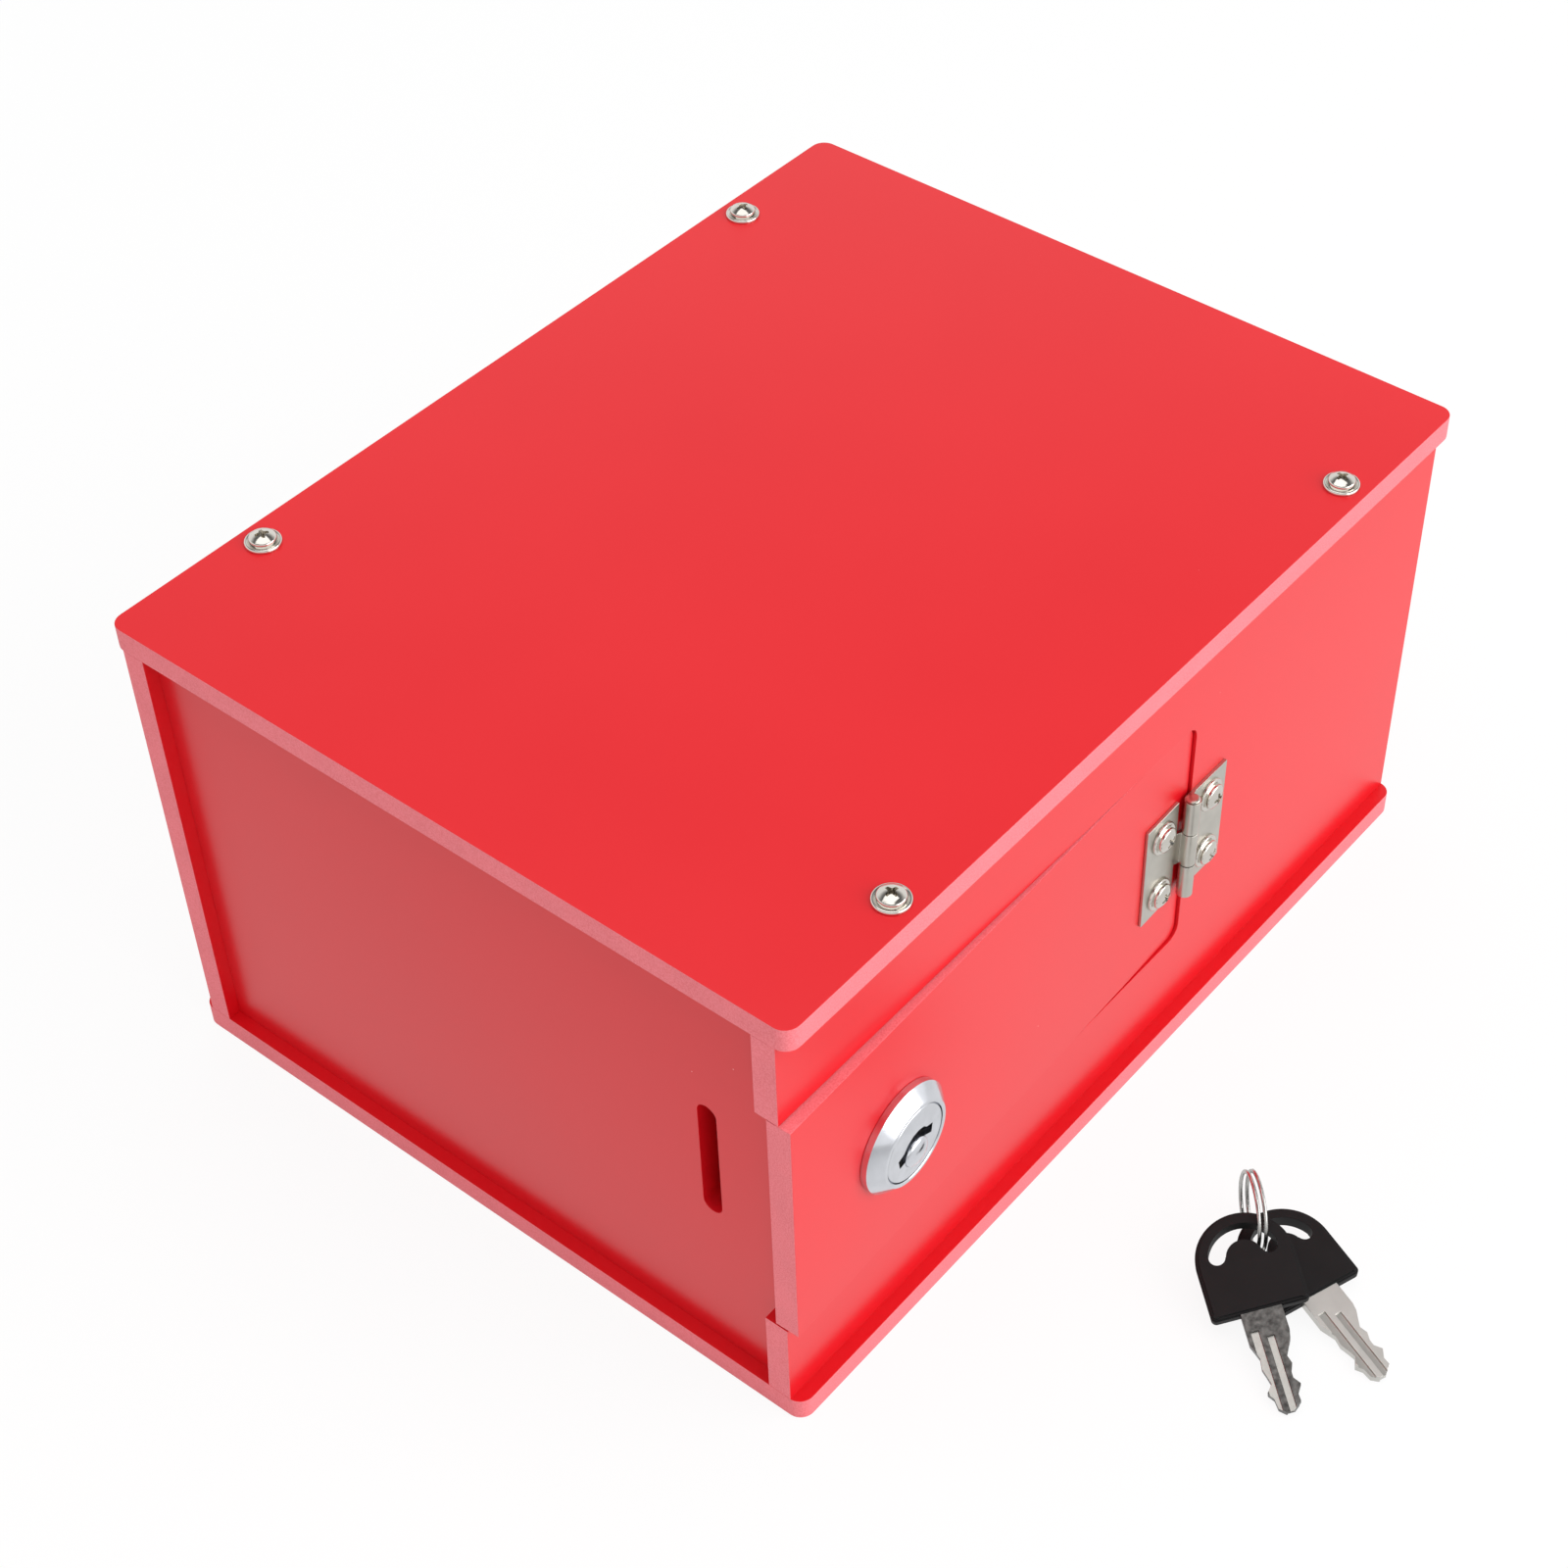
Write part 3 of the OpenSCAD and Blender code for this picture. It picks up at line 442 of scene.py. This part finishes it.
def scatter_tree():
    """Geometry nodes: one screw on each point, turned at random about its own axis."""
    tree = bpy.data.node_groups.new("screws_on_points", "GeometryNodeTree")
    face = tree.interface
    face.new_socket("Places", in_out="INPUT", socket_type="NodeSocketGeometry")
    face.new_socket("Screw", in_out="INPUT", socket_type="NodeSocketObject")
    face.new_socket("Aim", in_out="INPUT", socket_type="NodeSocketRotation")
    face.new_socket("Most spin", in_out="INPUT", socket_type="NodeSocketFloat")
    face.new_socket("Seed", in_out="INPUT", socket_type="NodeSocketInt")
    face.new_socket("Metal", in_out="INPUT", socket_type="NodeSocketMaterial")
    face.new_socket("Screws", in_out="OUTPUT", socket_type="NodeSocketGeometry")
    given = add(tree, "NodeGroupInput").outputs
    info = add(tree, "GeometryNodeObjectInfo", None, {"Object": given["Screw"]})
    spin = add(tree, "FunctionNodeRandomValue", {"data_type": "FLOAT"},
               {2: 0.0, 3: given["Most spin"], "Seed": given["Seed"]})
    axis_turn = add(tree, "FunctionNodeAxisAngleToRotation", None,
                    {"Axis": (0, 0, 1), "Angle": spin.outputs[1]})
    aimed = add(tree, "FunctionNodeRotateRotation", {"rotation_space": "LOCAL"},
                {"Rotation": given["Aim"], "Rotate By": axis_turn.outputs["Rotation"]})
    points = add(tree, "GeometryNodeMeshToPoints", None, {"Mesh": given["Places"]})
    placed = add(tree, "GeometryNodeInstanceOnPoints", None,
                 {"Points": points.outputs["Points"], "Instance": info.outputs["Geometry"],
                  "Rotation": aimed.outputs["Rotation"]})
    real = add(tree, "GeometryNodeRealizeInstances", None, {"Geometry": placed.outputs["Instances"]})
    coated = add(tree, "GeometryNodeSetMaterial", None,
                 {"Geometry": real.outputs["Geometry"], "Material": given["Metal"]})
    add(tree, "NodeGroupOutput", None, {"Screws": coated.outputs["Geometry"]})
    return tree


def set_inputs(modifier, tree, values):
    for item in tree.interface.items_tree:
        if item.item_type == "SOCKET" and item.in_out == "INPUT" and item.name in values:
            modifier[item.identifier] = values[item.name]


SCREW_TREE = scatter_tree()


def screw_set(node, name, body, head, places, aim, seed):
    mesh = bpy.data.meshes.new(name)
    mesh.from_pydata([tuple(c * MM for c in p) for p in places], [], [])
    obj = new_object(name, mesh)
    modifier = obj.modifiers.new("screws", "NODES")
    modifier.node_group = SCREW_TREE
    set_inputs(modifier, SCREW_TREE, {"Screw": head, "Aim": aim, "Most spin": math.pi / 2,
                                      "Seed": seed, "Metal": SCREW_NICKEL})
    obj = settle(obj)
    smooth(obj, 40)
    return finish_piece(obj, body, node, SCREW_NICKEL)


long_screw = screw_head("long_screw", 16.0)
short_screw = screw_head("short_screw", 5.0)
top_places = [(x, y, TOP_Z) for x in (-PLATE_SCREW[0], PLATE_SCREW[0]) for y in (-PLATE_SCREW[1], PLATE_SCREW[1])]
screw_set("plate_screws", "top_board_screws", "box", long_screw, top_places, (0, 0, 0), 3)


def leaf_places(side, face_y, at):
    return [tuple(at @ Vector((side * LEAF_SCREW[0], face_y - LEAF_T, HINGE_Z + dz)))
            for dz in (-LEAF_SCREW[1], LEAF_SCREW[1])]


out_of_panel = Euler((math.radians(90), 0, 0))
out_of_door = Euler((math.radians(90), 0, math.radians(DOOR_AJAR)))
screw_set("hinge_frame_screws", "fixed_leaf_screws", "box", short_screw,
          leaf_places(1, BARREL_D / 2, AT_HINGE), out_of_panel, 5)
screw_set("hinge_door_screws", "door_leaf_screws", "door", short_screw,
          leaf_places(-1, DOOR_FACE, AT_DOOR), out_of_door, 8)
for used in (long_screw, short_screw):
    bpy.data.objects.remove(used)


# Hinge

fixed_leaf = soften(solid_copy("hinge_frame_leaf", "fixed_leaf"), 0.12, 2, 40)
finish_piece(fixed_leaf, "box", "hinge_frame_leaf", HINGE_NICKEL)
door_leaf = soften(solid_copy("hinge_door_leaf", "door_leaf"), 0.12, 2, 40)
finish_piece(door_leaf, "door", "hinge_door_leaf", HINGE_NICKEL)
pin_top = HINGE_Z + LEAF_H / 2
pin = from_bmesh("pin", lathe([
    (0, pin_top - LEAF_H), (PIN_D / 2 - 0.1, pin_top - LEAF_H), (PIN_D / 2, pin_top - LEAF_H + 0.1),
    (PIN_D / 2, pin_top), (1.38, pin_top + 0.02), (1.4, pin_top + 0.12), (1.2, pin_top + 0.3),
    (0.8, pin_top + 0.38), (0, pin_top + 0.4)], 40), AT_HINGE)
finish_piece(smooth(pin, 40), "box", "hinge_pin", HINGE_NICKEL)


# Lock body: chromed bezel, and a threaded barrel with two flats behind the door

BEZEL_R = 11.1
BEZEL_FACE_R = 8.75
BEZEL_RIM_T = 1.45
BEZEL_H = 3.6
BARREL_R = 9.0
BARREL_HALF_FLATS = 8.0
BARREL_LEN = 17.9
BORE_R = 6.05
FACE_POCKET_R = 7.95
THREAD_PITCH = 1.0
THREAD_DEPTH = 0.35


def barrel_radius(radius, height, angle):
    """Keeps the barrel behind the door inside its two flats."""
    if height > -0.001 or radius <= FACE_POCKET_R:
        return radius
    side = abs(math.sin(angle))
    return min(radius, BARREL_HALF_FLATS / side) if side > 0.1 else radius


def lock_profile():
    face_low = BEZEL_H - 0.1 - 1.4 - 0.2
    points = [(BORE_R, -BARREL_LEN), (BARREL_R - 0.5, -BARREL_LEN), (BARREL_R, -BARREL_LEN + 0.4)]
    z = -BARREL_LEN + 0.6
    while z < -BOARD_T - 0.5:
        points += [(BARREL_R, z), (BARREL_R - THREAD_DEPTH, z + 0.45 * THREAD_PITCH),
                   (BARREL_R, z + 0.9 * THREAD_PITCH)]
        z += THREAD_PITCH
    points += [(BARREL_R, -0.05), (BEZEL_R - 0.1, 0), (BEZEL_R, 0.1), (BEZEL_R, BEZEL_RIM_T - 0.12),
               (BEZEL_R - 0.1, BEZEL_RIM_T)]
    points += [(BEZEL_FACE_R + 0.12, BEZEL_H - 0.12), (BEZEL_FACE_R - 0.05, BEZEL_H),
               (FACE_POCKET_R + 0.12, BEZEL_H), (FACE_POCKET_R, BEZEL_H - 0.12), (FACE_POCKET_R, face_low),
               (BORE_R, face_low)]
    return points


lock_shell = smooth(from_bmesh("lock_shell", lathe(lock_profile(), 96, barrel_radius), AT_LOCK), 25)
finish_piece(lock_shell, "door", "lock_body", CHROME)
nut = soften(solid_copy("lock_nut", "barrel_nut"), 0.35, 3, 40)
finish_piece(nut, "door", "lock_nut", SCREW_NICKEL)


# Lock core: the plug with its wavy keyway, the domed shutter, and the cam behind

PLUG_FACE = BEZEL_H - 0.1
KEYWAY = [(-4.8, -0.4), (-4.4, -2.6), (-2.8, -2.3), (-2.3, -0.9), (-0.6, 0.3), (1.4, 0.5), (2.3, -0.2),
          (3.4, -0.8), (4.7, -1.4), (5.0, 0.8), (4.0, 1.1), (3.3, 1.3), (2.5, 2.2), (1.0, 2.6), (-0.6, 2.4),
          (-2.0, 1.6), (-3.2, 0.2)]
SHUTTER_AT = (0.2, -2.3)
SHUTTER_R = 3.05
SHUTTER_H = 1.15


def plug_piece():
    tail = 2.8
    profile = [(0, -20.6), (tail, -20.6), (tail, -18.1), (6.0, -18.1), (6.0, PLUG_FACE - 1.4),
               (7.75, PLUG_FACE - 1.4), (7.75, PLUG_FACE - 0.15), (7.6, PLUG_FACE), (0, PLUG_FACE)]

    def squared(radius, height, angle):
        if height > -18.2 or radius > tail + 0.01:
            return radius
        return radius / max(abs(math.cos(angle)), abs(math.sin(angle)))

    obj = from_bmesh("plug", lathe(profile, 96, squared), AT_LOCK)
    keyway = from_bmesh("plug_keyway", prism(KEYWAY, PLUG_FACE - 6, PLUG_FACE + 1), AT_LOCK)
    obj = cut_away(obj, keyway)
    hole = lathe([(0, 1.2), (SHUTTER_R + 0.05, 1.2), (SHUTTER_R + 0.05, PLUG_FACE + 1), (0, PLUG_FACE + 1)], 48)
    hole = from_bmesh("plug_shutter_hole", hole, AT_LOCK @ place(SHUTTER_AT[0], SHUTTER_AT[1], 0))
    return smooth(cut_away(obj, hole), 30)


plug = plug_piece()
finish_piece(plug, "lock_core", "lock_plug", CHROME)
dome = [(0, 1.3), (SHUTTER_R, 1.3), (SHUTTER_R, PLUG_FACE)]
for k in range(1, 10):
    swing = math.pi / 2 * k / 9
    dome.append((SHUTTER_R * math.cos(swing), PLUG_FACE + SHUTTER_H * math.sin(swing)))
dome[-1] = (0, PLUG_FACE + SHUTTER_H)
shutter = from_bmesh("shutter", lathe(dome, 48), AT_LOCK @ place(SHUTTER_AT[0], SHUTTER_AT[1], 0))
finish_piece(smooth(shutter, 35), "lock_core", "lock_shutter", CHROME)

for node, name, metal, slot, width in (
        ("lock_stop_disc", "stop_disc", STEEL, "spring_steel", 0.1),
        ("lock_cam", "cam", STEEL, "spring_steel", 0.25),
        ("cam_washer", "washer", SCREW_NICKEL, "screw_nickel", 0.12),
        ("cam_screw", "cam_bolt", SCREW_NICKEL, "screw_nickel", 0.2)):
    finish_piece(soften(solid_copy(node, name), width, 3, 40), "lock_core", node, metal)
for node, metal in (("lock_wafers", BRASS), ("lock_wafer_springs", STEEL)):
    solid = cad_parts[node]
    solid.data.materials.clear()
    solid.data.materials.append(metal)


# Keys

def milled_faces(blade, outside, milled):
    """The floors of the grooves were milled after plating and wear less, so they stay bright."""
    blade.data.materials.append(outside)
    blade.data.materials.append(milled)
    across = max(blade.data.polygons, key=lambda face: face.area).normal.copy()
    flat = [face for face in blade.data.polygons if abs(face.normal.dot(across)) > 0.95]
    depths = [face.center.dot(across) for face in flat]
    middle = (max(depths) + min(depths)) / 2
    half = (max(depths) - min(depths)) / 2
    for face, depth in zip(flat, depths):
        face.material_index = 1 if abs(depth - middle) < 0.8 * half else 0


for side in ("a", "b"):
    bow = soften(solid_copy("key_%s_bow" % side, "bow_" + side), 0.3, 3, 25)
    finish_piece(bow, "keys", "key_%s_bow" % side, BOW_PLASTIC)
    blade = solid_copy("key_%s_blade" % side, "blade_" + side)
    milled_faces(blade, BLADE_METALS[side], MILLED_METAL)
    blade = soften(blade, 0.08, 2, 30)
    finish_piece(blade, "keys", "key_%s_blade" % side)

ring = smooth(solid_copy("key_ring", "split_ring"), 80)
finish_piece(ring, "keys", "key_ring", STEEL)


# Floor, light and camera

def floor():
    material, tree, shader, where = new_material("matt_white_floor")
    shader.inputs["Base Color"].default_value = linear("#f4f4f4")
    shader.inputs["Roughness"].default_value = 0.9
    path = add(tree, "ShaderNodeLightPath")
    along = add(tree, "ShaderNodeSeparateXYZ", None, {"Vector": where}).outputs["X"]
    # Painted reflection: in reflections the floor glows less bright on the box's left, standing in for less lamp
    # light away from the lamps
    painted_reflection_level = add(tree, "ShaderNodeMapRange", {"interpolation_type": "SMOOTHSTEP"},
                   {"Value": along, "From Min": -0.28, "From Max": -0.06, "To Min": 0.56, "To Max": 0.84})
    strength = add(tree, "ShaderNodeMix", {"data_type": "FLOAT"},
                   {"Factor": path.outputs["Is Glossy Ray"], 2: 1.0, 3: painted_reflection_level.outputs["Result"]})
    seen = add(tree, "ShaderNodeMath", {"operation": "MULTIPLY"}, {0: path.outputs["Is Camera Ray"], 1: 0.9})
    share = add(tree, "ShaderNodeMath", {"operation": "MAXIMUM"},
                {0: seen.outputs[0], 1: path.outputs["Is Glossy Ray"]})
    glow = add(tree, "ShaderNodeEmission", None, {"Color": (1, 1, 1, 1), "Strength": strength.outputs[0]})
    mix = add(tree, "ShaderNodeMixShader", None,
              {0: share.outputs[0], 1: shader.outputs["BSDF"], 2: glow.outputs["Emission"]})
    tree.links.new(mix.outputs["Shader"], tree.nodes["Material Output"].inputs["Surface"])
    bm = bmesh.new()
    bmesh.ops.create_grid(bm, x_segments=1, y_segments=1, size=4000)
    obj = from_bmesh("floor", bm)
    obj.data.materials.append(material)


def softbox(name, at, target, width, height, watts):
    light = bpy.data.lights.new(name, "AREA")
    light.shape = "RECTANGLE"
    light.size = width
    light.size_y = height
    light.energy = watts
    obj = bpy.data.objects.new(name, light)
    bpy.context.scene.collection.objects.link(obj)
    at = Vector(at)
    aim = (Vector(target) - at).to_track_quat("-Z", "Y")
    obj.matrix_world = Matrix.Translation(at) @ aim.to_matrix().to_4x4()
    return obj


def studio():
    world = bpy.data.worlds.new("studio")
    bpy.context.scene.world = world
    world.use_nodes = True
    tree = world.node_tree
    tree.nodes.clear()
    path = add(tree, "ShaderNodeLightPath")
    where = add(tree, "ShaderNodeTexCoord").outputs["Generated"]
    height = add(tree, "ShaderNodeSeparateXYZ", None, {"Vector": where}).outputs["Z"]
    # Reflections see pale walls low down and a darker ceiling
    walls = add(tree, "ShaderNodeMapRange", {"interpolation_type": "SMOOTHSTEP"},
                {"Value": height, "From Min": 0.45, "From Max": 0.8, "To Min": 1.0, "To Max": 0.15})
    level = add(tree, "ShaderNodeMix", {"data_type": "FLOAT"},
                {"Factor": path.outputs["Is Glossy Ray"], 2: 0.62, 3: walls.outputs["Result"]})
    around = add(tree, "ShaderNodeBackground", None, {"Color": (1, 1, 1, 1), "Strength": level.outputs[0]})
    seen = add(tree, "ShaderNodeBackground", None, {"Color": (1, 1, 1, 1), "Strength": 1.0})
    mix = add(tree, "ShaderNodeMixShader", None,
              {0: path.outputs["Is Camera Ray"], 1: around.outputs[0], 2: seen.outputs[0]})
    add(tree, "ShaderNodeOutputWorld", None, {"Surface": mix.outputs[0]})
    softbox("key_light", (0.35, -1.3, 0.75), (0, -0.05, 0.05), 1.7, 1.2, 17)
    softbox("top_light", (0.0, 0.1, 1.4), (0, 0, 0.05), 1.2, 1.2, 6.5)


def camera():
    data = bpy.data.cameras.new("camera")
    data.sensor_width = 36
    data.lens = 67.01
    data.shift_x = -0.0607
    data.shift_y = 0.0348
    data.clip_start = 0.01
    obj = bpy.data.objects.new("camera", data)
    bpy.context.scene.collection.objects.link(obj)
    spin = Vector((2.16239, -1.04879, 0.42642))
    world_to_view = Matrix.Rotation(spin.length, 3, spin.normalized())
    right, down, ahead = world_to_view[0], world_to_view[1], world_to_view[2]
    basis = Matrix((right, -down, -ahead)).transposed().to_4x4()
    obj.matrix_world = Matrix.Translation(Vector((-0.32024, -0.27180, 0.44440))) @ basis
    bpy.context.scene.camera = obj


floor()
studio()
camera()
bpy.context.scene.view_settings.view_transform = "Standard"
